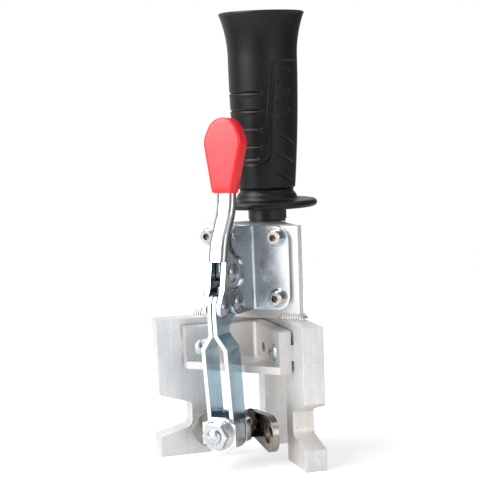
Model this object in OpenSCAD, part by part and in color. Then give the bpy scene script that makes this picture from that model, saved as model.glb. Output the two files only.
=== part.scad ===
// Corner clamp: a two-legged corner frame carries a vertical toggle clamp
// whose spindle drives a V pad into the corner, and an upright rubber hand
// grip. Millimetres. The origin is the inside corner line of the frame at the
// surface it stands on; the V opens towards -Y and the grip rises along +Z.

/* [Corner frame] */
// length of each leg from the inside corner
leg_length = 63.2; // [58:0.2:80]
// height of the legs
leg_height = 77.3; // [72:0.1:90]
// thickness of the legs
leg_thickness = 12; // [8:0.5:16]
// start of the window, measured from the inside corner
window_start = 0.8; // [0.5:0.1:3]
// end of the window, measured from the inside corner
window_end = 34.2; // [28:0.2:38]
// height of the window above the feet
window_height = 51; // [46:0.5:56]
// where the jaw notch ends, measured from the inside corner
notch_back = 44.5; // [42:0.5:50]
// lower edge of the notch at its mouth
notch_mouth_low = 11.4; // [8:0.2:14]
// upper edge of the notch at its mouth
notch_mouth_high = 35.2; // [33:0.2:40]
// lower edge of the notch at its back
notch_back_low = 16.4; // [15:0.2:19]
// upper edge of the notch at its back
notch_back_high = 29.4; // [27:0.2:32]
// fillet inside the notch
notch_fillet = 4.5; // [2:0.5:6]
// fillet at the upper back corner of the notch
notch_fillet_high = 2.5; // [1:0.5:5]

/* [Mount plate] */
// width of the upright plate
plate_width = 64; // [60:1:80]
// thickness of the upright plate and its top leaf
plate_thickness = 5; // [4:0.5:8]
// how far the front face stands out from the inside corner
plate_out = 20; // [18:0.5:24]
// height of the upright plate above the legs
plate_height = 51.2; // [50:0.2:60]
// how far the cut rear edges of the top leaf lie behind the corner
leaf_reach = 14.8; // [12:0.2:16]
// radius of the rounded nose of the top leaf
leaf_nose = 10.3; // [9:0.1:12]

/* [Corner bracket] */
// length of each wing of the cast bracket
wing_length = 48.5; // [42:0.5:52]
// thickness of the wings
wing_thickness = 6.7; // [4:0.1:8]
// gap that the rear rib keeps between a wing and its leg
wing_gap = 1.2; // [0.8:0.1:2]
// top of the bracket below the top of the legs
bracket_drop = 3.8; // [3:0.2:8]
// height of the bracket
bracket_height = 23; // [20:0.5:26]
// thickness of the triangular floor
bracket_floor = 4; // [3:0.5:6]
// place of the outer screw along a wing
bracket_screw_at = 38.4; // [34:0.2:42]
// place of the empty hole along a wing
bracket_hole_at = 21.4; // [16:0.2:26]
// height of the screws above the underside
bracket_screw_up = 10.8; // [9:0.2:14]
// radius of the screw shanks
bracket_screw_r = 2.5; // [2:0.1:3.2]

/* [Toggle pivots] */
// sheet thickness of the base plates, links, bar strips and handle
sheet = 2.5; // [2:0.1:3]
// half of the gap between the two bar strips at the top
strip_half_gap = 0.2; // [0.15:0.05:0.6]
// side gap between plates that turn on each other
side_gap = 0.35; // [0.3:0.05:0.6]
// radial clearance of the turning pivots
pivot_clearance = 0.05; // [0.02:0.01:0.1]
// bar pivot, in front of the mount plate
bar_pivot_out = 20.2; // [19:0.1:22]
// bar pivot, above the legs
bar_pivot_up = 11.4; // [10:0.1:13]
// handle pivot, in front of the mount plate
handle_pivot_out = 35.5; // [34:0.1:37]
// handle pivot, above the legs
handle_pivot_up = 10.7; // [10:0.1:12]
// link pin of the handle, in front of the mount plate
link_pin_out = 25; // [24:0.1:26]
// link pin of the handle, above the legs
link_pin_up = 28.1; // [27:0.1:29]
// link pivot on the base, in front of the mount plate
link_pivot_out = 23.6; // [22.5:0.1:24.5]
// link pivot on the base, below the top of the mount plate
link_pivot_drop = 3; // [2.5:0.1:4]
// radius of the three large rivets
rivet_r = 3; // [2.5:0.1:3.4]
// radius of the small rivet of the link
small_rivet_r = 1.5; // [1.2:0.1:1.8]
// radius of the large rivet heads
rivet_head_r = 5.2; // [4.5:0.1:5.4]
// height of the large rivet heads
rivet_head_h = 1.9; // [1.2:0.1:2.4]

/* [Base plates] */
// width of a flange from the middle of the clamp
flange_reach = 27.6; // [26:0.2:31]
// lower edge of the flanges above the legs
flange_up = 5.4; // [4.5:0.1:5.6]
// radius of the flange corners
flange_corner = 8; // [5:0.5:9]
// radius inside the bend
bend_inner = 1.5; // [1:0.1:2]
// place of the screws from the middle
flange_screw_x = 20.5; // [18:0.1:21]
// lower screws above the legs
flange_screw_low = 11.9; // [11:0.1:14]
// upper screws below the top of the plate
flange_screw_drop = 6; // [5.5:0.1:9]
// radius of the flange screw shanks
flange_screw_r = 2.5; // [2:0.1:3]
// radius of the flange screw heads
flange_head_r = 3.95; // [3.6:0.05:4.4]
// width of their sockets across the corners, halved
flange_socket_r = 2.05; // [1.8:0.05:2.4]

/* [Arm bar] */
// half spacing of the strips in the wide lower part
strip_wide = 6.65; // [6.2:0.05:7.5]
// where the dogleg starts, below the top of the legs
dogleg_drop = 4.3; // [3:0.1:8]
// height of the dogleg
dogleg_height = 7.5; // [6:0.1:9]
// lower end of the strips above the feet
strip_end = 12; // [9:0.5:13]
// front edge of their lower ends, in front of the mount plate
strip_end_out = 35.6; // [34:0.1:37]
// depth of the strips, front to back
strip_depth = 14.2; // [13:0.1:16]

/* [Handle] */
// width of the pressed channel
channel_width = 11.1; // [10.5:0.1:12]
// depth of the channel
channel_depth = 3.4; // [3:0.1:4]
// outer corner radius of the channel
channel_radius = 3.2; // [2.8:0.1:3.8]
// lower edge of the channel web below the top of the mount plate
web_drop = 16.2; // [14:0.1:18]
// start of the channel line below the top of the mount plate
channel_start = 31.2; // [29:0.1:33]
// radius of the round head of the vinyl grip
vinyl_r = 11.3; // [10:0.1:13]
// radius of its top
vinyl_top_r = 9.8; // [8:0.1:11]
// height of the widest place below the top
vinyl_wide_drop = 13.5; // [12:0.1:16]
// half width of its lower end
vinyl_neck = 6.4; // [6:0.1:8]
// thickness of the vinyl grip
vinyl_thickness = 9; // [7.4:0.1:10]
// rounding of its edges
vinyl_edge = 1.2; // [0.8:0.1:3]
// length of the vinyl grip
vinyl_length = 40.4; // [38:0.2:46]
// width of the tongue inside the vinyl grip
tongue_width = 10; // [8:0.5:10.5]
// length of the tongue
tongue_length = 32; // [28:0.5:34]
// straight part of the channel under the vinyl grip
grip_straight = 6.1; // [5:0.1:10]

/* [Spindle] */
// radius of the stud
stud_r = 4; // [3.5:0.1:4.5]
// height of the stud above the feet
stud_up = 19.8; // [19:0.1:21]
// radius of the flange of the nuts
nut_flange_r = 8.5; // [7.6:0.1:9]
// width of the nuts across flats
nut_flats = 13; // [12:0.5:14]
// thickness of the saddle washers
saddle = 2; // [1.5:0.1:2.4]
// half height of the saddle washers
saddle_reach = 9.2; // [8.6:0.1:10]
// height of the tabs of the saddle washers
tab_height = 12; // [9:0.5:15]
// length of the tabs of the front saddle washer
front_tab = 9; // [7:0.1:11]
// length of the tabs of the rear saddle washer
rear_tab = 3.6; // [2.5:0.1:5]
// height of the hexagon of the nuts above the seat
nut_h = 4.4; // [4:0.1:6]
// thickness of the flange of the nuts
flange_h = 1.2; // [1:0.1:1.6]

/* [V pad] */
// length of each wing inside the V
pad_length = 34.6; // [32:0.1:38]
// height of the pad
pad_height = 20; // [18:0.2:22]
// half height of the pad at its inside corner
pad_corner = 7.5; // [6:0.1:9]
// thickness of the pad
pad_thickness = 4; // [3:0.1:5]
// middle of the pad above the feet
pad_up = 16.4; // [15:0.1:18]
// inside corner of the pad, in front of the frame's inside corner
pad_out = 17.8; // [14:0.1:20]
// radius of the hole in each wing
pad_hole_r = 5; // [4:0.1:6]

/* [Hand grip] */
// grip axis behind the inside corner
grip_back = 8.5; // [7.5:0.1:9.5]
// length of the rubber sleeve above its collar
grip_length = 98.7; // [90:0.1:120]
// radius of the grip body near its top
grip_r = 19.5; // [17:0.1:20.5]
// radius of the grip body at its lower end
grip_low_r = 16.3; // [15:0.1:16.6]
// radius of the flared top
flare_r = 24.2; // [21.5:0.1:25]
// radius of the guard disc
guard_r = 28.4; // [24:0.2:30]
// thickness of the guard disc
guard_thickness = 4.1; // [3.6:0.1:6]
// radius of the inner tube
tube_r = 10.8; // [9.5:0.1:11]
// bare length of the tube between washer and guard
neck_length = 6.9; // [5:0.1:8]
// thickness of the washer under the tube
grip_washer = 1; // [0.8:0.1:1.6]
// radius of the grip bolt
grip_bolt_r = 4; // [3.5:0.1:4.5]

/* [Hidden] */
$fn = 72;
eps = 0.02;
s2 = sqrt(2);
plate_top = leg_height + plate_height;
bracket_top = leg_height - bracket_drop;
bracket_bottom = bracket_top - bracket_height;
dogleg_high = leg_height - dogleg_drop;
dogleg_low = dogleg_high - dogleg_height;
flange_screw_high = plate_height - flange_screw_drop;
plate_y = -plate_out;
flange_y = plate_y - sheet;
// pivots as [y, z]
pa = [plate_y - bar_pivot_out, leg_height + bar_pivot_up];
pb = [plate_y - handle_pivot_out, leg_height + handle_pivot_up];
pc = [plate_y - link_pin_out, leg_height + link_pin_up];
pd = [plate_y - link_pivot_out, plate_top - link_pivot_drop];
// layers across the clamp, as distances from the middle
strip_in = strip_half_gap;
strip_out = strip_half_gap + sheet;
outer_in = strip_out + side_gap;
outer_out = outer_in + sheet;
wide_in = strip_wide - sheet / 2;
wide_out = strip_wide + sheet / 2;
link_in = strip_in + 0.1;
link_sheet = sheet - 0.1;
// front and back of the strips where the saddle washers sit
end_front = plate_y - strip_end_out;
end_back = end_front + strip_depth;
// grip heights
tube_z = plate_top + grip_washer;
guard_z = tube_z + neck_length;
collar_z = guard_z + guard_thickness;
collar_h = 6.2;
body_z = collar_z + collar_h;
grip_top = body_z + grip_length;
screw_fit = 0.05;
screw_depth = 6;

// unit vector from p to q
function dir(p, q) = (q - p) / norm(q - p);
// tangent length of a fillet of radius r at corner b
function tlen(a, b, c, r) = r / tan(acos(max(-1, min(1, dir(b, a) * dir(b, c)))) / 2);
// turn at corner b, positive for an outward corner of an anticlockwise outline
function turn(a, b, c) = (b[0] - a[0]) * (c[1] - b[1]) - (b[1] - a[1]) * (c[0] - b[0]);
// centre of the fillet at corner b
function fcen(a, b, c, r) = b + (dir(b, a) + dir(b, c)) / norm(dir(b, a) + dir(b, c))
    * r / sin(acos(max(-1, min(1, dir(b, a) * dir(b, c)))) / 2);
function xy(p) = [p[0], p[1]];

// outline with a radius at each corner; points are [x, y, r], anticlockwise
module outline(p) {
    n = len(p);
    difference() {
        union() {
            polygon([for (i = [0 : n - 1]) let (a = xy(p[(i + n - 1) % n]), b = xy(p[i]), c = xy(p[(i + 1) % n]), r = p[i][2])
                each r > 0 ? [b + dir(b, a) * tlen(a, b, c, r), b + dir(b, c) * tlen(a, b, c, r)] : [b]]);
            for (i = [0 : n - 1]) {
                a = xy(p[(i + n - 1) % n]);
                b = xy(p[i]);
                c = xy(p[(i + 1) % n]);
                if (p[i][2] > 0 && turn(a, b, c) > 0)
                    translate(fcen(a, b, c, p[i][2])) circle(r = p[i][2]);
            }
        }
        for (i = [0 : n - 1]) {
            a = xy(p[(i + n - 1) % n]);
            b = xy(p[i]);
            c = xy(p[(i + 1) % n]);
            if (p[i][2] > 0 && turn(a, b, c) < 0)
                translate(fcen(a, b, c, p[i][2])) circle(r = p[i][2]);
        }
    }
}

// stands a [y, z] outline up and gives it thickness t from x0 along +X
module plate_x(x0, t) {
    translate([x0, 0, 0]) rotate([90, 0, 90]) linear_extrude(t) children();
}
// stands an [x, z] outline up and gives it thickness t from y0 along -Y
module plate_y(y0, t) {
    translate([0, y0, 0]) rotate([90, 0, 0]) linear_extrude(t) children();
}
// cylinder along X from x0 to x1 at [y, z]
module pin_x(p, r, x0, x1) {
    translate([x0, p[0], p[1]]) rotate([0, 90, 0]) cylinder(r = r, h = x1 - x0);
}
// cylinder along Y from y0 to y1 at [x, z]
module pin_y(p, r, y0, y1) {
    translate([p[0], y1, p[1]]) rotate([90, 0, 0]) cylinder(r = r, h = y1 - y0);
}
module both() {
    children();
    mirror([1, 0, 0]) children();
}
// frame of a leg: x runs out along the leg and y points into the V
module on_left_leg() {
    rotate([0, 0, 225]) children();
}

// corner frame
module leg() {
    on_left_leg() difference() {
        rotate([90, 0, 0]) linear_extrude(leg_thickness) leg_side();
        translate([bracket_screw_at, 1, bracket_bottom + bracket_screw_up]) rotate([90, 0, 0])
            cylinder(r = bracket_screw_r + screw_fit, h = screw_depth + 1.5);
    }
}
module leg_side() {
    outline([
        [-leg_thickness, 0, 0], [window_start, 0, 0], [window_start, window_height, 3],
        [window_end, window_height, 3], [window_end, 0, 0],
        [leg_length, 0, 0], [leg_length, notch_mouth_low, 0],
        [notch_back, notch_back_low, notch_fillet], [notch_back, notch_back_high, notch_fillet_high],
        [leg_length - 1.5, notch_mouth_high - 0.5, 0], [leg_length, notch_mouth_high + 1, 0],
        [leg_length, leg_height, 0], [-leg_thickness, leg_height, 0]]);
}
module corner_frame() {
    color("#c9c7c2") both() leg();
}

// mount plate with its top leaf
module mount_plate() {
    half = plate_width / 2;
    color("#d2d0cb") difference() {
        union() {
            translate([-half, plate_y, leg_height]) cube([plate_width, plate_thickness, plate_height]);
            translate([0, 0, plate_top - plate_thickness]) linear_extrude(plate_thickness) {
                polygon([[-half, plate_y], [half, plate_y], [half, leaf_reach - half],
                    [0, leaf_reach], [-half, leaf_reach - half]]);
                translate([0, grip_back]) circle(r = leaf_nose);
            }
        }
        for (x = [-1, 1], z = [flange_screw_low, flange_screw_high])
            pin_y([x * flange_screw_x, leg_height + z], flange_screw_r + screw_fit, plate_y - 1, plate_y + plate_thickness);
        translate([0, grip_back, plate_top - plate_thickness - 1]) cylinder(r = grip_bolt_r + screw_fit, h = plate_thickness + 2);
    }
}

// weld beads along the foot of the plate
bead_r = 2.1;
bead_pitch = 1.7;
bead_count = 8;
module bead(y0, side) {
    intersection() {
        for (i = [0 : bead_count]) translate([plate_width / 2 + 1.5 - i * bead_pitch, y0, leg_height]) sphere(r = bead_r);
        translate([plate_width / 2 - 20, side < 0 ? y0 - 5 : y0, leg_height]) cube([30, 5, 5]);
    }
}
module weld_beads() {
    color("#b9b6b0") both() {
        bead(plate_y, -1);
        bead(plate_y + plate_thickness, 1);
    }
}

// cast corner bracket
wing_in = wing_gap;
wing_out = wing_gap + wing_thickness;
module wing() {
    on_left_leg() {
        difference() {
            translate([wing_in, wing_in, bracket_bottom])
                cube([wing_length - wing_in, wing_thickness, bracket_top - bracket_bottom]);
            for (s = [bracket_screw_at, bracket_hole_at])
                translate([s, wing_out + 1, bracket_bottom + bracket_screw_up]) rotate([90, 0, 0])
                    cylinder(r = bracket_screw_r + (s == bracket_hole_at ? 0.3 : screw_fit), h = wing_out + 2);
        }
        // rear rib that keeps the wing off the leg
        difference() {
            translate([wing_in, 0, bracket_bottom + 7]) cube([wing_length - wing_in, wing_in + eps, 8.5]);
            for (s = [bracket_screw_at, bracket_hole_at])
                translate([s, wing_out + 1, bracket_bottom + bracket_screw_up]) rotate([90, 0, 0])
                    cylinder(r = bracket_screw_r + (s == bracket_hole_at ? 0.3 : screw_fit), h = wing_out + 2);
        }
    }
}
module corner_bracket() {
    color("#b3afa9") union() {
        both() wing();
        on_left_leg() translate([0, 0, bracket_bottom]) linear_extrude(bracket_floor)
            polygon([[wing_in, wing_in], [wing_length, wing_in], [wing_length, wing_out],
                [wing_out, wing_length], [wing_in, wing_length]]);
        // round inside corner between the wings
        on_left_leg() translate([wing_out, wing_out, bracket_bottom]) difference() {
            translate([-eps, -eps, 0]) cube([2.5, 2.5, bracket_top - bracket_bottom]);
            translate([2.5, 2.5, -1]) cylinder(r = 2.5, h = bracket_height + 2);
        }
    }
}
// pan head with a domed face, on the axis +Z, seat at 0
module pan_head(r, h) {
    rr = (r * r + h * h) / (2 * h);
    intersection() {
        cylinder(r = r, h = h);
        translate([0, 0, h - rr]) sphere(r = rr);
    }
}
module bracket_screws() {
    color("#c8ccd0") both() on_left_leg()
        translate([bracket_screw_at, wing_out, bracket_bottom + bracket_screw_up]) rotate([-90, 0, 0]) {
            difference() {
                pan_head(5, 2.4);
                for (a = [45, 135]) translate([0, 0, 2.4]) rotate([0, 0, a]) cube([4.6, 0.9, 2.2], center = true);
            }
            translate([0, 0, -wing_out - screw_depth]) cylinder(r = bracket_screw_r, h = wing_out + screw_depth + eps);
        }
}

// base plates
module base_side() {
    difference() {
        outline([[plate_y, leg_height + flange_up, 0], [plate_y, plate_top + 0.1, 0],
            [pd[0] + 2.2, pd[1] + 4.6, 2], [pd[0] - 0.4, pd[1] + 3, 2], [pd[0] - 3.1, pd[1] - 1.2, 2], [pd[0] - 2.2, pd[1] - 5.6, 2],
            [pc[0] + 6.5, pc[1] + 6.8, 0], [pc[0] + 5, pc[1] - 6.6, 0],
            [pa[0] - 6.2, pa[1] + 7.2, 1.2], [pa[0] - 6.2, leg_height + flange_up, 5.8]]);
        translate([pc[0] + 3.5, pc[1]]) circle(r = 9);
    }
}
module base_flange() {
    outline([[outer_in, leg_height + flange_up, 0], [flange_reach, leg_height + flange_up, flange_corner],
        [flange_reach, plate_top + 0.1, flange_corner], [outer_in, plate_top + 0.1, 0]]);
}
module base_plate() {
    h = plate_height + 0.1 - flange_up;
    bo = bend_inner + 1;
    difference() {
        union() {
            plate_x(outer_in, sheet) base_side();
            plate_y(plate_y, sheet) base_flange();
            // round inside of the bend
            translate([outer_out - eps, flange_y - bend_inner, leg_height + flange_up]) difference() {
                cube([bend_inner + eps, bend_inner + eps, h]);
                translate([bend_inner + eps, 0, -1]) cylinder(r = bend_inner, h = h + 2);
            }
        }
        // round outside of the bend
        translate([outer_in - eps, plate_y - bo, leg_height + flange_up - 1]) difference() {
            cube([bo + eps, bo + eps, h + 2]);
            translate([bo + eps, 0, -1]) cylinder(r = bo, h = h + 4);
        }
        for (z = [flange_screw_low, flange_screw_high])
            pin_y([flange_screw_x, leg_height + z], flange_screw_r + screw_fit, flange_y - 1, plate_y + 1);
        pin_x(pa, rivet_r, outer_in - 1, outer_out + 1);
        pin_x(pd, small_rivet_r, outer_in - 1, outer_out + 1);
    }
}
module base_plate_right() {
    color("#aab4bb") base_plate();
}
module base_plate_left() {
    color("#aab4bb") mirror([1, 0, 0]) base_plate();
}

// flange fasteners
washer_h = 1;
module at_flange_screws() {
    for (x = [-1, 1], z = [flange_screw_low, flange_screw_high])
        translate([x * flange_screw_x, flange_y, leg_height + z]) rotate([90, 0, 0]) children();
}
module flange_washers() {
    color("#c2c8cc") at_flange_screws() difference() {
        cylinder(r = 5.2, h = washer_h);
        translate([0, 0, -1]) cylinder(r = flange_screw_r + screw_fit, h = washer_h + 2);
    }
}
module flange_screws() {
    color("#d5d3cf") at_flange_screws() difference() {
        union() {
            translate([0, 0, washer_h]) cylinder(r = flange_head_r, h = 3.4);
            translate([0, 0, washer_h + 3.4 - eps]) cylinder(r1 = flange_head_r, r2 = flange_head_r - 0.4, h = 0.4);
            translate([0, 0, -sheet - plate_thickness + 0.5])
                cylinder(r = flange_screw_r, h = sheet + plate_thickness - 0.5 + washer_h + eps);
        }
        translate([0, 0, washer_h + 1.8]) cylinder(r = flange_socket_r, h = 4, $fn = 6);
    }
}
// rivet head: a dome with a flat top, on the axis +Z, seat at 0
module rivet_head(r, h) {
    flat = 0.6 * r;
    c = (r * r - flat * flat - h * h) / (2 * h);
    intersection() {
        cylinder(r = r + 1, h = h);
        translate([0, 0, -c]) sphere(r = sqrt(r * r + c * c));
    }
}
// rivets: a shank across the clamp with a domed head on each side
module rivet(p, r, head_r, head_h) {
    pin_x(p, r, -outer_out - eps, outer_out + eps);
    both() translate([outer_out, p[0], p[1]]) rotate([0, 90, 0]) rivet_head(head_r, head_h);
}
module bar_rivet() {
    color("#b7c2ca") rivet(pa, rivet_r, rivet_head_r, rivet_head_h);
}
module handle_rivet() {
    color("#b7c2ca") rivet(pb, rivet_r, rivet_head_r, rivet_head_h);
}
module link_rivet() {
    color("#b7c2ca") rivet(pd, small_rivet_r, 2.3, 1);
}
// the link pin ends inside each cheek, where the linkage is opened
module link_pin_heads() {
    color("#b7c2ca") both() {
        translate([outer_out, pc[0], pc[1]]) rotate([0, 90, 0]) rivet_head(rivet_head_r, rivet_head_h);
        pin_x(pc, rivet_r, outer_in, outer_out + eps);
    }
}

// bar strips
bar_front = pb[0] - 5;
bar_waist = pa[0] - 5.6;
module bar_outline() {
    outline([[end_front, strip_end, 5], [end_back, strip_end, 5], [end_back, 29, 0],
        [bar_waist + 1.4, dogleg_low - 5, 0], [bar_waist - 0.6, dogleg_high - 2, 0],
        [bar_waist - 0.2, pa[1] - 10.5, 5], [pa[0] + 5.4, pa[1] - 4.4, 2], [pa[0] + 5.4, pa[1] + 5.2, 5],
        [pb[0] + 4, pb[1] + 7.2, 3], [bar_front, pb[1] + 7.2, 5.4],
        [bar_front - 0.5, pb[1] - 5, 0], [bar_front + 1.2, dogleg_low - 4, 0], [end_front, 29, 0]]);
}
// the strip seen from the front: straight, dogleg, straight
module strip_run() {
    polygon([[strip_in, plate_top], [strip_in, dogleg_high], [wide_in, dogleg_low], [wide_in, 0],
        [wide_out, 0], [wide_out, dogleg_low + 1], [strip_out, dogleg_high + 1], [strip_out, plate_top]]);
}
module bar_strip() {
    difference() {
        intersection() {
            plate_x(0, flange_reach) bar_outline();
            plate_y(0, plate_top) strip_run();
        }
        pin_x(pa, rivet_r + pivot_clearance, -1, flange_reach);
        pin_x(pb, rivet_r + pivot_clearance, -1, flange_reach);
    }
}
module bar_right() {
    color("#b4c4d0") bar_strip();
}
module bar_left() {
    color("#b4c4d0") mirror([1, 0, 0]) bar_strip();
}

// links between the handle's cheeks
module links() {
    color("#9fb0b8") both() difference() {
        plate_x(link_in, link_sheet) {
            translate(pc) circle(r = 4.7);
            translate(pd) circle(r = 3.3);
            polygon([pc + [-4.7, 0], pc + [4.7, 0], pd + [3.3, 0], pd + [-3.3, 0]]);
        }
        pin_x(pd, small_rivet_r + pivot_clearance, 0, flange_reach);
        pin_x(pc, rivet_r + 0.2, 0, flange_reach);
    }
}

// handle: two cheeks that run up into a pressed channel
hb0 = 12;
hb1 = 31;
hb2 = 5;
hr1 = 30;
hr2 = 20;
hl0 = 22;
hl1 = 8.4;
hl2 = grip_straight;
h0 = [pb[0] - 2.5, plate_top - channel_start];
h1 = h0 + hl0 * [sin(hb0), cos(hb0)];
h2 = h1 + hr1 * [cos(hb0) - cos(hb1), sin(hb1) - sin(hb0)];
h3 = h2 + hl1 * [sin(hb1), cos(hb1)];
h4 = h3 + hr2 * [cos(hb2) - cos(hb1), sin(hb1) - sin(hb2)];
web_z = plate_top - web_drop;
// front face of the channel as stations [y, z, lean], from the web's lower edge up
web_skip = (web_z - h0[1]) / cos(hb0);
stations = concat(
    [[h0[0] + web_skip * sin(hb0), web_z, hb0]],
    [for (i = [0 : 5]) let (a = hb0 + (hb1 - hb0) * i / 5)
        [h1[0] + hr1 * (cos(hb0) - cos(a)), h1[1] + hr1 * (sin(a) - sin(hb0)), a]],
    [for (i = [0 : 5]) let (a = hb1 + (hb2 - hb1) * i / 5)
        [h3[0] + hr2 * (cos(a) - cos(hb1)), h3[1] + hr2 * (sin(hb1) - sin(a)), a]],
    [[h4[0] + hl2 * sin(hb2), h4[1] + hl2 * cos(hb2), hb2]]);
web = sheet - 0.2;
// side outline of the channel between two depths behind its front face
function behind(s, d) = [s[0] + d * cos(s[2]), s[1] - d * sin(s[2])];
module channel_side(d0, d1) {
    m = len(stations);
    polygon(concat([for (s = stations) behind(s, d0)], [for (k = [m - 1 : -1 : 0]) behind(stations[k], d1)]));
}
module channel() {
    w = channel_width / 2;
    c = channel_radius / 2;
    plate_x(-w + c, 2 * (w - c)) channel_side(0, web);
    plate_x(-w + c / 2, 2 * w - c) channel_side(0.25, web);
    both() plate_x(outer_in, sheet) channel_side(0.8, channel_depth);
}
module cheek() {
    translate(pc) circle(r = 8);
    translate(pb) circle(r = 5.7);
    polygon([pb + [-4.4, 3.6], pb + [4, -4], pc + [-2.2, -7.7], pc + [4, 6.9], [pc[0] - 1.6, pc[1] + 10.6],
        [h1[0] + 4.2, h1[1] - 0.5], [h1[0] + 3.3, h1[1] + 3.5], [h1[0] + 2.6, h1[1] + 2.6], [h1[0] + 1.6, h1[1]],
        [h0[0] + 1.6, h0[1]]]);
}
module tongue() {
    translate([0, h4[0], h4[1]]) rotate([-hb2, 0, 0]) translate([-tongue_width / 2, 0, hl2 / 4]) cube([tongue_width, web, tongue_length]);
}
module handle_lever() {
    color("#c3ccd3") difference() {
        union() {
            channel();
            tongue();
            both() plate_x(outer_in, sheet) cheek();
        }
        pin_x(pb, rivet_r, -flange_reach, flange_reach);
        pin_x(pc, rivet_r, -flange_reach, flange_reach);
    }
}
// one slice of the vinyl grip, drawn in by d, between two depths
module vinyl_slice(d, y0, t) {
    translate([0, y0, 0]) rotate([90, 0, 0]) linear_extrude(t) {
        translate([0, vinyl_length - vinyl_wide_drop]) circle(r = vinyl_r - d, $fn = 36);
        translate([0, vinyl_length - vinyl_top_r]) circle(r = vinyl_top_r - d, $fn = 36);
        translate([-vinyl_neck + d, 0]) square([2 * (vinyl_neck - d), 1]);
    }
}
// vinyl grip dipped over the tongue
module vinyl_grip() {
    t = vinyl_thickness;
    e = vinyl_edge;
    color("#e8202c") difference() {
        translate([0, h4[0], h4[1]]) rotate([-hb2, 0, 0]) translate([0, web / 2, hl2 - 2]) hull() {
            vinyl_slice(e, t / 2, t);
            vinyl_slice(0.3 * e, t / 2 - 0.3 * e, t - 0.6 * e);
            vinyl_slice(0, t / 2 - e, t - 2 * e);
        }
        channel();
        tongue();
    }
}

// spindle
stud_front = end_front - saddle - flange_h - nut_h - 2;
pad_y = -pad_out;
module spindle_stud() {
    color("#c6cacd") pin_y([0, stud_up], stud_r, stud_front, pad_y - stud_r);
}
// flange nut with its seat at y0, growing towards dir_y
module flange_nut(y0, s) {
    translate([0, y0, stud_up]) rotate([-90 * s, 0, 0]) difference() {
        union() {
            cylinder(r = nut_flange_r, h = flange_h);
            translate([0, 0, flange_h - eps]) cylinder(r1 = nut_flange_r - 0.5, r2 = nut_flats / 2 - 0.2, h = 1.3);
            translate([0, 0, flange_h - eps]) cylinder(r = nut_flats / sqrt(3), h = nut_h, $fn = 6);
        }
        translate([0, 0, -1]) cylinder(r = stud_r, h = nut_h + flange_h + 2);
    }
}
module front_nut() {
    color("#d0d4d6") flange_nut(end_front - saddle, -1);
}
module rear_nut() {
    color("#c0c4c6") flange_nut(end_back + saddle, 1);
}
// saddle washer: a plate across the strips with a tab down each side
tab_gap = 0.1;
module saddle(y0, s, tab_l) {
    face_r = saddle_reach;
    tab_h = tab_height;
    w = wide_out + tab_gap;
    difference() {
        union() {
            intersection() {
                translate([-w - saddle, s < 0 ? y0 - saddle : y0, stud_up - face_r]) cube([2 * (w + saddle), saddle, 2 * face_r]);
                pin_y([0, stud_up], w + saddle, y0 - 2 * saddle, y0 + 2 * saddle);
            }
            both() translate([w, s < 0 ? y0 - saddle : y0 - tab_l, stud_up - tab_h / 2]) cube([saddle, tab_l + saddle, tab_h]);
        }
        pin_y([0, stud_up], stud_r + 0.1, y0 - 2 * saddle, y0 + 2 * saddle);
    }
}
module front_saddle() {
    color("#c9cfd6") saddle(end_front, -1, front_tab);
}
module rear_saddle() {
    color("#b5c4c8") saddle(end_back, 1, rear_tab);
}

// V pad, one bent strip that widens to its round ends
pad_end = pad_height / 2;
pad_hole_at = pad_length - pad_end;
pad_lean = atan2(pad_hole_at, pad_corner) - acos(pad_end / norm([pad_hole_at, pad_corner]));
module pad_wing() {
    translate([0, pad_y, pad_up]) rotate([0, 0, 225]) rotate([90, 0, 0]) linear_extrude(pad_thickness) difference() {
        union() {
            polygon([[-pad_thickness, -pad_corner], [0, -pad_corner],
                [pad_hole_at - pad_end * sin(pad_lean), -pad_end * cos(pad_lean)], [pad_hole_at, 0],
                [pad_hole_at - pad_end * sin(pad_lean), pad_end * cos(pad_lean)],
                [0, pad_corner], [-pad_thickness, pad_corner]]);
            translate([pad_hole_at, 0]) circle(r = pad_end);
        }
        translate([pad_hole_at, 0]) circle(r = pad_hole_r);
    }
}
module v_pad() {
    color("#9a9488") difference() {
        both() pad_wing();
        // round outside of the bend
        translate([0, pad_y + pad_thickness * s2, pad_up - pad_height / 2 - 1]) rotate([0, 0, 225])
            translate([-eps, -eps, 0]) difference() {
                cube([2.5, 2.5, pad_height + 2]);
                translate([2.5, 2.5, -1]) cylinder(r = 2.5, h = pad_height + 4);
            }
    }
}
module pad_weld() {
    color("#4a4540") difference() {
        intersection() {
            translate([0, pad_y, stud_up]) rotate([90, 0, 0]) union() {
                cylinder(r = stud_r + 2.6, h = 6.6);
                translate([0, 0, 6.6 - eps]) cylinder(r1 = stud_r + 2.6, r2 = stud_r + 0.5, h = 2.6);
            }
            translate([0, pad_y, 0]) rotate([0, 0, 225]) cube([pad_length, pad_length, pad_up + pad_corner + 1.2]);
        }
        pin_y([0, stud_up], stud_r, pad_y - 4 * stud_r, pad_y - stud_r);
    }
}

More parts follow.
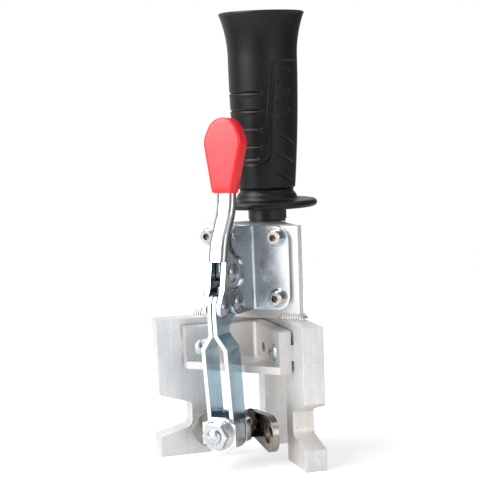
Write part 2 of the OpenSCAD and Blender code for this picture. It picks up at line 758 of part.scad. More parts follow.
// hand grip
groove_pitch = 9.8;
function body_r(t) = grip_low_r + (grip_r - grip_low_r) * (1 - pow(1 - t, 2));
module sleeve_profile() {
    flare_h = 25;
    rf = (flare_h * flare_h + pow(flare_r - grip_r, 2)) / (2 * (flare_r - grip_r));
    straight = grip_length - flare_h;
    difference() {
        union() {
            translate([0, guard_z]) square([guard_r - guard_thickness / 2, guard_thickness]);
            translate([guard_r - guard_thickness / 2, guard_z + guard_thickness / 2]) circle(r = guard_thickness / 2);
            polygon(concat([[0, collar_z - eps], [17.4, collar_z - eps], [16.9, collar_z + 2.2], [15.2, collar_z + 4.6], [15.2, body_z]],
                [for (i = [0 : 8]) [body_r(i / 8), body_z + 0.8 + (straight - 0.8) * i / 8]],
                [[flare_r, grip_top - flare_h], [flare_r, grip_top - 1.2], [flare_r - 1, grip_top], [flare_r - 4, grip_top], [flare_r - 6, grip_top - 3], [0, grip_top - 3]]));
        }
        translate([grip_r + rf, grip_top - flare_h]) circle(r = rf, $fn = 240);
        translate([-1, guard_z - 1]) square([tube_r + 1, grip_top - 12 - guard_z + 1]);
    }
}
module grip_sleeve() {
    color("#2b2a2c") translate([0, grip_back, 0]) difference() {
        rotate_extrude() sleeve_profile();
        // finger grooves on the side that faces the clamp
        for (i = [0 : 3]) translate([0, 0, grip_top - 44.5 - i * groove_pitch]) rotate([0, 0, -190])
            rotate_extrude(angle = 122) translate([body_r(1 - 0.13 * (i + 2)) + 0.45, 0]) circle(r = 0.9, $fn = 16);
    }
}
module grip_tube() {
    color("#232325") translate([0, grip_back, tube_z]) difference() {
        cylinder(r = tube_r, h = grip_top - 12 - tube_z);
        translate([0, 0, -1]) cylinder(r = grip_bolt_r, h = grip_top);
    }
}
module grip_foot_washer() {
    color("#1d1d1e") translate([0, grip_back, plate_top]) difference() {
        cylinder(r = tube_r - 0.5, h = grip_washer);
        translate([0, 0, -1]) cylinder(r = grip_bolt_r, h = 10);
    }
}
module grip_bolt() {
    color("#c2c6c9") translate([0, grip_back, plate_top - plate_thickness - 8]) cylinder(r = grip_bolt_r, h = 40);
}
module grip_nut() {
    color("#c2c6c9") translate([0, grip_back, plate_top - plate_thickness - 6.5]) difference() {
        cylinder(r = nut_flats / sqrt(3), h = 6.5, $fn = 6);
        translate([0, 0, -1]) cylinder(r = grip_bolt_r, h = 10);
    }
}

corner_frame();
mount_plate();
weld_beads();
corner_bracket();
bracket_screws();
base_plate_left();
base_plate_right();
flange_screws();
flange_washers();
bar_rivet();
link_rivet();
bar_left();
bar_right();
links();
handle_lever();
handle_rivet();
link_pin_heads();
vinyl_grip();
spindle_stud();
front_nut();
rear_nut();
front_saddle();
rear_saddle();
v_pad();
pad_weld();
grip_sleeve();
grip_tube();
grip_foot_washer();
grip_bolt();
grip_nut();
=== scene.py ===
import bmesh
import bpy
import math
from mathutils import Matrix, Vector, noise

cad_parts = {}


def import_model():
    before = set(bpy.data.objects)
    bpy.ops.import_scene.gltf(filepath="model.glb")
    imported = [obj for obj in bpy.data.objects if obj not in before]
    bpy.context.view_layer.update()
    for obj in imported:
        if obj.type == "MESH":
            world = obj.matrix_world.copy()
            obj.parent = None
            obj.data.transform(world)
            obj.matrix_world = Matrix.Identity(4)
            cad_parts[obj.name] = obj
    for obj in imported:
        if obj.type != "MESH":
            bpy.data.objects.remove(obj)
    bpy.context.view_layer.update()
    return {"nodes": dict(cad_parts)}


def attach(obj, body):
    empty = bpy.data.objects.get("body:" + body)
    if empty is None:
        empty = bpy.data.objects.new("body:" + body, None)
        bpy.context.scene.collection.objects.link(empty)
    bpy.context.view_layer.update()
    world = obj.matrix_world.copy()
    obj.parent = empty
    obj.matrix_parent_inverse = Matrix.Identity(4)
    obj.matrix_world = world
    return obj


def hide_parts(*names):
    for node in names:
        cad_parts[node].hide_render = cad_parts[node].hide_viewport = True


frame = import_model()
NODES = frame["nodes"]
SCENE = bpy.context.scene

# Sizes and places are in mm, in the part's own frame, unless a comment says otherwise.
# Scales of noise are per metre.
MM = 0.001
# CAD points closer than this are one point
CLOSE_POINTS = 0.004
# edges that turn more than this are rounded or shown sharp; flatter joints are dissolved; in degrees
SHARP_ANGLE = 32
FLAT_ANGLE = 0.6

# camera, fitted to the photograph; turn, tilt and roll in degrees
CAMERA_PLACE = (343.3, -674.6, 198.0)
CAMERA_ANGLES = (27.89, 5.99, -2.01)
CAMERA_LENS = 101.2
CAMERA_SENSOR = 36.0

# pressed channel of the lever: where its line starts as (y, z), and where its web does
CHANNEL_START = (-58.0, 97.3)
WEB_EDGE_Z = 112.3
# its leans in degrees, its straight runs and the bends between them
LEAN_LOW, LEAN_MID, LEAN_TOP = 12, 31, 5
RUN_LOW, RUN_MID, RUN_TOP = 22, 8.4, 6.1
BEND_LOW_R, BEND_TOP_R = 30, 20
CHANNEL_HALF = 5.55
CHANNEL_DEPTH = 3.4
CHANNEL_SHEET = 2.3
CHANNEL_R = 3.2
# half width and front of the block that takes the CAD channel away, its slack and its length past the end
BLOCK_HALF, BLOCK_FRONT, BLOCK_SLACK, BLOCK_PAST = 7, -1.5, 0.02, 34

# dipped vinyl grip of the lever
VINYL_LENGTH = 40.4
VINYL_WIDE_R, VINYL_WIDE_DROP = 11.3, 13.5
VINYL_TOP_R = 9.8
VINYL_NECK, VINYL_CORNER = 6.4, 1.5
VINYL_HALF_T, VINYL_EDGE = 4.4, 1.5
VINYL_BACK, VINYL_UP = 1.15, 4.1
VINYL_CROWN, VINYL_CROWN_DROP = 0.15, 16

# hand grip, about an upright axis
GRIP_Y = 8.5
GRIP_TOP = 245.4
GRIP_R, GRIP_LOW_R = 19.5, 16.3
GRIP_FOOT_Z, GRIP_FLARE_Z = 147.5, 220.4
GRIP_FLARE_BEND = 68.84
GRIP_BORE_R = 10.85
GUARD_Z, GUARD_R, GUARD_T = 136.4, 28.4, 4.1
COLLAR_Z = 140.5
MARKS_LOW, MARKS_HIGH = 148.5, 221
SLEEVE_AROUND, SLEEVE_STEP = 288, 0.38

# moulded marks of the sleeve: degrees from the middle of the finger side, height
FINGER_SIDE = -129.0
RIDGE = [
    (132, 218.2), (103, 218.3), (91, 218.5), (86.5, 218.1), (83.8, 217.2), (81, 215.6), (79.3, 214.2),
    (77.5, 209), (75.4, 202.0), (72.5, 194), (70.9, 187.3), (69.9, 174.6), (69.2, 167.4),
    (66.5, 165.4), (61, 163.9), (52, 163.2), (41.4, 163.0), (0, 162.9),
]
SLOTS = [((94, 177.1), (128, 171.3)), ((88, 166.6), (130, 161.0)), ((86.3, 156.1), (130, 150.3))]
DIMPLES = [(92.5, 206.7), (91.7, 196.1), (91.2, 185.4), (111, 212.5), (111, 201), (111, 190.5)]
# finger grooves: height, reach in degrees to each side
FINGERS = [(200.9, 64.5), (191.1, 64), (181.3, 63.2), (171.5, 62.2), (164.9, 56)]
# rise or depth of each mark, and its half width
RIDGE_RISE, RIDGE_WIDE = 0.45, 0.40
PANEL_DEPTH, PANEL_WIDE, PANEL_TOP = 0.30, 1.4, 216
GROOVE_DEPTH, GROOVE_WIDE = 0.75, 0.42
GROOVE_LIP_RISE, GROOVE_LIP_WIDE, GROOVE_LIP_DROP = 0.22, 0.7, 1.25
SLOT_DEPTH, SLOT_WIDE = 0.55, 0.45
DIMPLE_DEPTH, DIMPLE_WIDE = 0.5, 0.7
DIMPLE_RIM_RISE, DIMPLE_RIM_WIDE, DIMPLE_RIM_R = 0.2, 0.5, 1.5
# how far a mark takes to fade at its end
FADE = 1.2

# screws, spindle and bolt
FLANGE_SCREW_X = 20.5
FLANGE_SCREW_Z = (89.2, 122.5)
# hexagon socket from outside to its floor: corner radius, y
HEX_CUP = [(2.04, -25.35), (2.04, -27.1), (1.88, -27.1), (1.80, -25.75), (0.7, -25.55)]
SPINDLE_Z = 19.8
SPINDLE_Y = (-65.2, -21.8)
GRIP_BOLT_Z = (115.5, 155.5)
THREAD_R, THREAD_PITCH, THREAD_DEPTH = 4.0, 1.25, 0.62
THREAD_CHAMFER, THREAD_SLACK = 0.75, 0.02
# the crest takes what is left of each turn beside flanks this steep
THREAD_FLANK = 1.95
THREAD_AROUND, THREAD_STEPS = 40, 8

# weld beads along the foot of the mount plate
PLATE_FRONT_Y, PLATE_BACK_Y = -20.0, -15.0
BEAD_Z, BEAD_OUT_X, BEAD_LENGTH = 77.3, 34.6, 15.6
BEAD_R, BEAD_RISE = 2.08, 1.6
BEAD_STEPS, BEAD_UNEVEN, BEAD_END = 132, 0.10, 6
RIPPLE, RIPPLE_BOW = 1.45, 0.55
OVERLAP = 0.02
PAD_WELD = (0.0, -21.0, 19.5)

# studio, in metres: floor radius, its drop under the clamp and what the lights aim at
FLOOR_R = 0.6
FLOOR_DROP = 0.00005
AIM = (0, 0, 0.12)
# brightness of the floor as the camera sees it, and of the room around
FLOOR_SEEN = 0.60
WORLD_DIM = (0.16, 0.175, 0.19)
# soft boxes and walls, not seen by the camera: direction, half angles in degrees where each is full
# and where it ends, brightness
WALLS = [
    ((-0.57, -0.81, 0.42), 16, 40, 0.80),
    ((0.92, -0.36, 0.16), 20, 44, 0.62),
    ((-0.88, 0.44, 0.06), 20, 48, 0.62),
    ((-0.465, 0.88, 0.20), 14, 30, 0.60),
    ((-0.26, -0.96, 0.02), 8, 26, 1.05),
    ((0.0, 0.0, 1.0), 30, 62, 0.60),
]


def add_object(name, data):
    """New object that holds the data, linked to the scene."""
    o = bpy.data.objects.new(name, data)
    SCENE.collection.objects.link(o)
    return o


def make_camera():
    """Camera fitted to the photograph."""
    yaw, pitch, roll = (math.radians(a) for a in CAMERA_ANGLES)
    ahead = Vector((-math.sin(yaw) * math.cos(pitch), math.cos(yaw) * math.cos(pitch), -math.sin(pitch)))
    level = ahead.cross(Vector((0, 0, 1))).normalized()
    upright = level.cross(ahead)
    right = level * math.cos(roll) + upright * math.sin(roll)
    up = -level * math.sin(roll) + upright * math.cos(roll)
    cam = bpy.data.cameras.new("camera")
    cam.lens = CAMERA_LENS
    cam.sensor_width = CAMERA_SENSOR
    cam.clip_start = 0.01
    cam.clip_end = 50
    o = add_object("camera", cam)
    m = Matrix((right, up, -ahead)).transposed().to_4x4()
    m.translation = Vector(CAMERA_PLACE) * MM
    o.matrix_world = m
    SCENE.camera = o


class Nodes:
    """Small helper around one material's node tree."""

    def __init__(self, name):
        self.mat = bpy.data.materials.new(name)
        self.mat.use_nodes = True
        self.t = self.mat.node_tree
        self.bsdf = self.t.nodes["Principled BSDF"]
        self.co = self.t.nodes.new("ShaderNodeTexCoord").outputs["Object"]

    def link(self, a, b):
        self.t.links.new(a, b)

    def put(self, socket, value):
        """Set or link an input of the main shader."""
        s = self.bsdf.inputs[socket]
        if isinstance(value, bpy.types.NodeSocket):
            self.link(value, s)
        elif isinstance(value, tuple):
            s.default_value = (value + (1.0,))[:len(s.default_value)]
        else:
            s.default_value = value

    def scaled(self, scale):
        """Object coordinates times a scale, one number or one for each axis."""
        n = self.t.nodes.new("ShaderNodeMapping")
        self.link(self.co, n.inputs["Vector"])
        n.inputs["Scale"].default_value = scale if isinstance(scale, tuple) else (scale,) * 3
        return n.outputs[0]

    def noise(self, scale, detail=3.0, rough=0.6, vec=None, distortion=0.0):
        n = self.t.nodes.new("ShaderNodeTexNoise")
        n.inputs["Scale"].default_value = scale
        n.inputs["Detail"].default_value = detail
        n.inputs["Roughness"].default_value = rough
        n.inputs["Distortion"].default_value = distortion
        self.link(vec or self.co, n.inputs["Vector"])
        return n.outputs["Fac"]

    def ramp(self, fac, stops):
        """Colour ramp; a stop is a position from 0 to 1 with a colour or a grey."""
        n = self.t.nodes.new("ShaderNodeValToRGB")
        self.link(fac, n.inputs["Fac"])
        e = n.color_ramp.elements
        while len(e) < len(stops):
            e.new(0.5)
        for el, (place, c) in zip(e, stops):
            el.position = place
            el.color = (c if isinstance(c, tuple) else (c, c, c)) + (1.0,)
        return n.outputs["Color"]

    def mix(self, fac, a, b, mode="MIX"):
        n = self.t.nodes.new("ShaderNodeMix")
        n.data_type = "RGBA"
        n.blend_type = mode
        for v, i in ((fac, 0), (a, 6), (b, 7)):
            if isinstance(v, bpy.types.NodeSocket):
                self.link(v, n.inputs[i])
            else:
                n.inputs[i].default_value = v + (1.0,) if isinstance(v, tuple) else v
        return n.outputs[2]

    def calc(self, op, a, b=0.0):
        n = self.t.nodes.new("ShaderNodeMath")
        n.operation = op
        for i, v in enumerate((a, b)):
            if isinstance(v, bpy.types.NodeSocket):
                self.link(v, n.inputs[i])
            else:
                n.inputs[i].default_value = v
        return n.outputs[0]

    def part(self, vector, axis):
        """One axis of a vector socket."""
        n = self.t.nodes.new("ShaderNodeSeparateXYZ")
        self.link(vector, n.inputs[0])
        return n.outputs[axis]

    def facing(self, axis, lo, hi):
        """0 to 1 as the surface turns to face along the axis, either way."""
        normal = self.t.nodes.new("ShaderNodeNewGeometry").outputs["Normal"]
        return self.ramp(self.calc("ABSOLUTE", self.part(normal, axis)), [(lo, 0.0), (hi, 1.0)])

    def ramp_mm(self, metres, stops):
        """Ramp over a length, with its stops in mm."""
        far = stops[-1][0]
        return self.ramp(self.calc("MULTIPLY", metres, 1 / (MM * far)), [(q / far, c) for q, c in stops])

    def along(self, axis, stops, mirrored=False):
        """Ramp over the place along an axis, or over the distance from its zero."""
        place = self.part(self.co, axis)
        return self.ramp_mm(self.calc("ABSOLUTE", place) if mirrored else place, stops)

    def near(self, place, stops):
        """Ramp over the distance from a place."""
        d = self.t.nodes.new("ShaderNodeVectorMath")
        d.operation = "DISTANCE"
        self.link(self.co, d.inputs[0])
        d.inputs[1].default_value = [c * MM for c in place]
        return self.ramp_mm(d.outputs["Value"], stops)

    def bump(self, height, strength, distance, normal=None):
        """Bump from a height of 0 to 1 over a distance in metres, on top of an earlier normal."""
        n = self.t.nodes.new("ShaderNodeBump")
        self.link(height, n.inputs["Height"])
        n.inputs["Strength"].default_value = strength
        n.inputs["Distance"].default_value = distance
        if normal is not None:
            self.link(normal, n.inputs["Normal"])
        return n.outputs[0]


def metal(name, base, dark, rough, grain, relief, blotch, cloudy=0.6, metallic=1.0, pits=0.0, specks=0.0,
          brushed=None, edge=None, edge_rough=None, extra=None):
    """Metal with cloudy staining and a fine grain; pits, dark specks and brushed lines are optional.
    edge is a painted highlight colour for the faces that face front or back, and extra changes the colour
    at the end."""
    n = Nodes(name)
    cloud = n.noise(blotch, detail=4.0)
    fine = n.noise(1.0, detail=5.0, vec=n.scaled(grain))
    tone = n.calc("ADD", n.calc("MULTIPLY", cloud, cloudy), n.calc("MULTIPLY", fine, 1 - cloudy))
    color = n.ramp(tone, [(0.32, dark), (0.62, base)])
    rough_var = 0.12
    roughness = n.calc("ADD", rough - rough_var / 2, n.calc("MULTIPLY", fine, rough_var))
    if edge:
        # painted highlight on the faces that face front or back
        front = n.facing("Y", 0.80, 0.93)
        color = n.mix(front, color, edge)
        if edge_rough:
            roughness = n.calc("ADD", roughness, n.calc("MULTIPLY", front, edge_rough - rough))
    if specks:
        dots = n.ramp(n.noise(420, detail=1.0, rough=0.4), [(0.20, 1.0), (0.27, 0.0)])
        color = n.mix(n.calc("MULTIPLY", dots, specks), color, (0.12, 0.11, 0.10))
    if extra:
        color = extra(n, color)
    n.put("Base Color", color)
    n.put("Metallic", metallic)
    n.put("Roughness", roughness)
    normal = n.bump(fine, relief, 0.0001)
    if brushed:
        lines = n.noise(1.0, detail=4.0, rough=0.7, vec=n.scaled(brushed))
        normal = n.bump(lines, 0.25, 0.00006, normal)
    if pits:
        holes = n.ramp(n.noise(1400, detail=2.0, rough=0.5), [(0.30, 0.0), (0.40, 1.0)])
        normal = n.bump(holes, pits, 0.00012, normal)
    n.put("Normal", normal)
    return n.mat


def milled(n, color):
    """Cool and warm patches and upright streaks, and the joint line of the two legs at the top."""
    patches = n.ramp(n.noise(22, distortion=0.6),
                     [(0.36, (0.90, 0.945, 1.0)), (0.5, (1.0, 1.0, 1.0)), (0.66, (1.0, 0.965, 0.92))])
    color = n.mix(0.8, color, patches, "MULTIPLY")
    streaks = n.ramp(n.noise(1.0, vec=n.scaled((420, 420, 30))), [(0.40, 0.90), (0.60, 1.0)])
    color = n.mix(0.6, color, streaks, "MULTIPLY")
    line = n.calc("MULTIPLY", n.along("X", [(0.22, 1.0), (0.40, 0.0)], mirrored=True),
                  n.along("Z", [(70, 0.0), (73, 1.0)]))
    return n.mix(n.calc("MULTIPLY", line, 0.85), color, (0.10, 0.10, 0.11))


def sawn_ends_and_painted_shade(n, color):
    """Rough sawn ends of the plate, which face sideways, and painted shade in the corner by the legs."""
    rough = n.ramp(n.noise(1.0, rough=0.7, vec=n.scaled((500, 900, 420))),
                   [(0.38, (0.74, 0.73, 0.70)), (0.52, (1.0, 0.99, 0.975))])
    color = n.mix(n.facing("X", 0.85, 0.95), color, rough)
    # painted shade: the plate darkens towards the corner by the legs
    painted_shade = n.near((2.0, -20.0, 76.0),
                  [(6, (0.42, 0.41, 0.40)), (15, (0.66, 0.65, 0.64)), (26, (1.0, 1.0, 1.0))])
    return n.mix(1.0, color, painted_shade, "MULTIPLY")


def zinc_painted_light(n, color):
    """Painted light on the zinc: a painted highlight that lightens the flange, most low down, and painted
    shade that darkens the side plate, most low down.
    """
    # painted highlight: the flange is lighter low down, less so near its top
    flange = n.along("Z", [(113.1, (1.42, 1.38, 1.34)), (123.1, (1.08, 1.09, 1.09))])
    # painted shade: the side plate is darker low down
    side = n.along("Z", [(75, (0.34, 0.335, 0.33)), (120, (0.67, 0.66, 0.66))])
    return n.mix(1.0, color, n.mix(n.facing("X", 0.75, 0.95), flange, side), "MULTIPLY")


def painted_side_shade(n, color):
    """Painted shade: the channel's sides are darker than its back."""
    side_shade = n.mix(1.0, color, (0.50, 0.495, 0.495), "MULTIPLY")
    # painted shade on the faces that face sideways
    return n.mix(n.facing("X", 0.66, 0.86), color, side_shade)


def ripple_painted_shade(n, color):
    """Painted shade in the gaps between the ripples of the bead."""
    wave = n.calc("SINE", n.calc("MULTIPLY", n.part(n.co, "X"), math.pi / (RIPPLE * MM)))
    # painted shade in the troughs between ripples
    trough_shade = n.ramp(n.calc("ABSOLUTE", wave), [(0.14, (0.16, 0.155, 0.15)), (0.50, (1.0, 1.0, 1.0))])
    return n.mix(1.0, color, trough_shade, "MULTIPLY")


def darker_towards_weld(n, color):
    """Nickel that darkens and browns towards the weld."""
    away_from_weld = n.near(PAD_WELD, [(13, 0.0), (19, 0.12), (26, 0.55), (34, 1.0)])
    weld_darkening = n.near(PAD_WELD, [(12, (0.05, 0.034, 0.026)), (21, (0.38, 0.29, 0.23)), (33, (1.0, 1.0, 1.0))])
    return n.mix(n.calc("SUBTRACT", 1.0, away_from_weld), color, weld_darkening, "MULTIPLY")


METALS = {
    "mill_aluminium": dict(
        base=(0.885, 0.867, 0.852), dark=(0.72, 0.705, 0.692), rough=0.50, grain=700, relief=0.3,
        blotch=38, cloudy=0.55, metallic=0.8, pits=0.25, specks=0.7, extra=milled),
    # its extra paints shade in the corner by the legs
    "plate_aluminium": dict(
        base=(0.95, 0.94, 0.925), dark=(0.80, 0.79, 0.77), rough=0.52, grain=(600, 600, 260), relief=0.3,
        blotch=60, cloudy=0.65, metallic=0.75, pits=0.2, extra=sawn_ends_and_painted_shade),
    "cast_aluminium": dict(
        base=(0.74, 0.72, 0.70), dark=(0.53, 0.51, 0.495), rough=0.5, grain=1500, relief=0.7,
        blotch=70, cloudy=0.35, metallic=0.9, pits=0.5),
    # its extra paints light low on the flange and shade on the side plate
    "zinc_steel": dict(
        base=(0.62, 0.675, 0.72), dark=(0.56, 0.61, 0.655), rough=0.25, grain=500, relief=0.12,
        blotch=40, extra=zinc_painted_light),
    # edge paints a highlight on the faces that face front or back
    "zinc_left": dict(
        base=(0.62, 0.675, 0.72), dark=(0.46, 0.51, 0.56), rough=0.23, grain=500, relief=0.12,
        blotch=50, edge=(0.97, 0.97, 0.97), edge_rough=0.5),
    # dark lining of the screw sockets: painted shade
    "socket_painted_shade": dict(
        base=(0.17, 0.125, 0.105), dark=(0.05, 0.035, 0.03), rough=0.32, grain=1500, relief=0.3,
        blotch=300, cloudy=0.5),
    "bracket_screw": dict(
        base=(0.60, 0.66, 0.66), dark=(0.34, 0.42, 0.42), rough=0.25, grain=900, relief=0.2, blotch=260),
    # its extra paints shade on the channel's sides
    "lever_steel": dict(
        base=(0.74, 0.755, 0.77), dark=(0.60, 0.62, 0.64), rough=0.20, grain=500, relief=0.10,
        blotch=60, extra=painted_side_shade),
    # edge paints a highlight on the faces that face front or back
    "bar_steel": dict(
        base=(0.51, 0.66, 0.755), dark=(0.38, 0.52, 0.61), rough=0.21, grain=500, relief=0.12,
        blotch=55, edge=(0.95, 0.96, 0.96)),
    "saddle_steel": dict(
        base=(0.86, 0.87, 0.88), dark=(0.68, 0.70, 0.71), rough=0.26, grain=500, relief=0.10, blotch=60),
    "flange_washer": dict(
        base=(0.58, 0.59, 0.60), dark=(0.40, 0.41, 0.42), rough=0.17, grain=900, relief=0.15,
        blotch=90, cloudy=0.5),
    "link_steel": dict(
        base=(0.36, 0.46, 0.50), dark=(0.24, 0.33, 0.37), rough=0.28, grain=500, relief=0.12, blotch=80),
    "zinc_screw": dict(
        base=(0.72, 0.735, 0.745), dark=(0.46, 0.48, 0.495), rough=0.20, grain=900, relief=0.15,
        blotch=90, cloudy=0.5),
    "stainless": dict(
        base=(0.70, 0.67, 0.64), dark=(0.46, 0.43, 0.41), rough=0.22, grain=1200, relief=0.2,
        blotch=140, cloudy=0.5),
    "rivet_steel": dict(
        base=(0.35, 0.36, 0.405), dark=(0.21, 0.22, 0.26), rough=0.14, grain=900, relief=0.15,
        blotch=120, cloudy=0.5),
    "nickel_plate": dict(
        base=(0.43, 0.405, 0.375), dark=(0.27, 0.25, 0.225), rough=0.2, grain=(300, 300, 2500), relief=0.1,
        blotch=60, brushed=(300, 300, 4000), extra=darker_towards_weld),
    # its extra paints shade between the ripples
    "weld_metal": dict(
        base=(0.93, 0.92, 0.90), dark=(0.66, 0.64, 0.61), rough=0.36, grain=1800, relief=0.5,
        blotch=240, extra=ripple_painted_shade),
    "dark_weld": dict(
        base=(0.15, 0.128, 0.115), dark=(0.014, 0.012, 0.011), rough=0.34, grain=1500, relief=0.8,
        blotch=420),
}


def black_rubber():
    n = Nodes("black_rubber")
    fine = n.noise(2600)
    cloud = n.noise(40, detail=4.0)
    n.put("Base Color", n.ramp(cloud, [(0.3, (0.0045, 0.0044, 0.0050)), (0.7, (0.0085, 0.0082, 0.0092))]))
    n.put("Roughness", n.calc("ADD", 0.37, n.calc("MULTIPLY", n.calc("SUBTRACT", cloud, 0.5), 0.18)))
    n.put("Specular IOR Level", 0.31)
    n.put("Normal", n.bump(fine, 0.22, 0.00008))
    return n.mat


def black_tube():
    n = Nodes("black_tube")
    fine = n.noise(1.0, vec=n.scaled((900, 900, 60)))
    n.put("Base Color", n.ramp(fine, [(0.3, (0.012, 0.012, 0.013)), (0.7, (0.026, 0.025, 0.027))]))
    n.put("Roughness", 0.36)
    n.put("Normal", n.bump(fine, 0.15, 0.0001))
    return n.mat


def red_vinyl():
    n = Nodes("red_vinyl")
    cloud = n.noise(60, rough=0.5)
    fine = n.noise(900)
    n.put("Base Color", n.ramp(cloud, [(0.3, (0.90, 0.007, 0.014)), (0.7, (0.97, 0.013, 0.024))]))
    n.put("Roughness", n.calc("ADD", 0.30, n.calc("MULTIPLY", n.calc("SUBTRACT", fine, 0.5), 0.1)))
    n.put("Coat Weight", 0.28)
    n.put("Coat Roughness", 0.34)
    n.put("Subsurface Weight", 0.75)
    n.put("Subsurface Radius", (0.008, 0.001, 0.001))
    wavy = n.calc("ADD", n.calc("MULTIPLY", cloud, 0.7), n.calc("MULTIPLY", fine, 0.3))
    n.put("Normal", n.bump(wavy, 0.12, 0.0003))
    return n.mat


def split_edges(o, angle):
    """Sharp shading where faces meet at more than the angle in degrees."""
    m = o.modifiers.new("split", "EDGE_SPLIT")
    m.split_angle = math.radians(angle)


def drop_normals(me):
    """Let go of the loaded normals, so that smooth shading is worked out anew."""
    normals = me.attributes.get("custom_normal")
    if normals:
        me.attributes.remove(normals)


def dress(o, mat, bevel, angle=SHARP_ANGLE, flats=True):
    """Material and small rounded edges on an object; its mesh stays as it is."""
    me = o.data
    me.materials.clear()
    me.materials.append(MAT[mat])
    drop_normals(me)
    me.polygons.foreach_set("use_smooth", [True] * len(me.polygons))
    weld = o.modifiers.new("weld", "WELD")
    weld.merge_threshold = CLOSE_POINTS * MM
    if flats:
        flat = o.modifiers.new("flats", "DECIMATE")
        flat.decimate_type = "DISSOLVE"
        flat.angle_limit = math.radians(FLAT_ANGLE)
    if bevel:
        edges = o.modifiers.new("edges", "BEVEL")
        edges.width = bevel * MM
        edges.segments = 2
        edges.limit_method = "ANGLE"
        edges.angle_limit = math.radians(angle)
        edges.harden_normals = True
        edges.miter_outer = "MITER_ARC"
    else:
        split_edges(o, angle)


# material of each CAD node and the width of its rounded edges
FINISH = {
    "corner_frame": ("mill_aluminium", 0.35),
    "mount_plate": ("plate_aluminium", 0.35),
    "weld_beads": ("weld_metal", 0.0),
    "corner_bracket": ("cast_aluminium", 0.45),
    "bracket_screws": ("bracket_screw", 0.12),
    "base_plate_left": ("zinc_left", 0.3),
    "base_plate_right": ("zinc_steel", 0.3),
    "flange_screws": ("stainless", 0.15),
    "flange_washers": ("flange_washer", 0.15),
    "bar_rivet": ("rivet_steel", 0.12),
    "link_rivet": ("rivet_steel", 0.1),
    "bar_left": ("bar_steel", 0.35),
    "bar_right": ("bar_steel", 0.35),
    "links": ("link_steel", 0.3),
    "handle_lever": ("lever_steel", 0.3),
    "handle_rivet": ("rivet_steel", 0.12),
    "link_pin_heads": ("rivet_steel", 0.12),
    "vinyl_grip": ("red_vinyl", 0.0),
    "spindle_stud": ("zinc_screw", 0.25),
    "front_nut": ("zinc_screw", 0.2),
    "rear_nut": ("zinc_screw", 0.2),
    "front_saddle": ("saddle_steel", 0.3),
    "rear_saddle": ("saddle_steel", 0.3),
    "v_pad": ("nickel_plate", 0.3),
    "pad_weld": ("dark_weld", 0.0),
    "grip_sleeve": ("black_rubber", 0.25),
    "grip_tube": ("black_tube", 0.3),
    "grip_foot_washer": ("black_tube", 0.2),
    "grip_bolt": ("zinc_screw", 0.3),
    "grip_nut": ("zinc_screw", 0.3),
}


def mesh_object(name, verts, faces, smooth=True):
    """Mesh object from points in mm."""
    me = bpy.data.meshes.new(name)
    me.from_pydata([tuple(c * MM for c in v) for v in verts], [], faces)
    me.polygons.foreach_set("use_smooth", [smooth] * len(me.polygons))
    me.update()
    return add_object(name, me)


def piece(name, verts, faces, body, node, mat, smooth=True):
    """New mesh object from points in mm; it rides on a body and may stand for a node."""
    o = mesh_object(name, verts, faces, smooth)
    o.data.materials.append(MAT[mat])
    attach(o, body)
    if node:
        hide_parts(node)
    return o


def solid(o):
    """Mesh of an object with its modifiers worked in; the modifiers come off."""
    made = bpy.data.meshes.new_from_object(o.evaluated_get(bpy.context.evaluated_depsgraph_get()))
    o.modifiers.clear()
    o.data = made
    return made


def loft(rings):
    """Points and faces that join rings of equal length, with a cap on each end."""
    n = len(rings[0])
    last = (len(rings) - 1) * n
    verts = [p for r in rings for p in r]
    faces = []
    for a in range(0, last, n):
        faces += [(a + k, a + (k + 1) % n, a + n + (k + 1) % n, a + n + k) for k in range(n)]
    faces.append(tuple(range(n))[::-1])
    faces.append(tuple(last + k for k in range(n)))
    return verts, faces


def lofts(parts):
    """Several lofts as one list of points and one of faces."""
    verts, faces = [], []
    for rings in parts:
        more, sides = loft(rings)
        faces += [tuple(i + len(verts) for i in f) for f in sides]
        verts += more
    return verts, faces


def ahead_of(station, run):
    """The station (y, z, lean) moved on along its lean."""
    y, z, lean = station
    return y + run * math.sin(lean), z + run * math.cos(lean), lean


def bend(station, lean, radius):
    """Stations of a round bend from a station to a new lean."""
    y, z, start = station
    r = math.copysign(radius, lean - start)
    out = []
    for k in range(13):
        a = start + (lean - start) * k / 12
        out.append((y + r * (math.cos(start) - math.cos(a)), z + r * (math.sin(a) - math.sin(start)), a))
    return out


def channel_path():
    """Stations (y, z, lean) from the web's lower edge into the vinyl grip, and the neck of that grip."""
    low, mid, top = (math.radians(a) for a in (LEAN_LOW, LEAN_MID, LEAN_TOP))
    start = CHANNEL_START + (low,)
    skip = (WEB_EDGE_Z - CHANNEL_START[1]) / math.cos(low)
    out = [ahead_of(start, skip + (RUN_LOW - skip) * k / 4) for k in range(4)]
    out += bend(ahead_of(start, RUN_LOW), mid, BEND_LOW_R)
    out += bend(ahead_of(out[-1], RUN_MID), top, BEND_TOP_R)
    neck = out[-1]
    out += [ahead_of(neck, RUN_TOP * k) for k in (0.5, 1.0)]
    return out, neck


def behind(station, x, depth):
    """Point beside a station and behind it, square to its lean."""
    y, z, lean = station
    return x, y + depth * math.cos(lean), z - depth * math.sin(lean)


def channel_ring():
    """Section of the pressed channel as (x, depth): round corners, one sheet thick."""
    flat, inner = CHANNEL_HALF - CHANNEL_R, CHANNEL_R - CHANNEL_SHEET
    half = [(0.0, 0.0), (flat, 0.0)]
    for k in range(1, 9):
        t = math.radians(90 * k / 8)
        half.append((flat + CHANNEL_R * math.sin(t), CHANNEL_R * (1 - math.cos(t))))
    half.append((CHANNEL_HALF, CHANNEL_DEPTH))
    half.append((CHANNEL_HALF - CHANNEL_SHEET, CHANNEL_DEPTH))
    for k in range(5):
        t = math.radians(90 - 90 * k / 4)
        half.append((flat + inner * math.sin(t), CHANNEL_R - inner * math.cos(t)))
    half.append((0.0, CHANNEL_SHEET))
    return half + [(-x, d) for x, d in half[::-1] if x > 0]


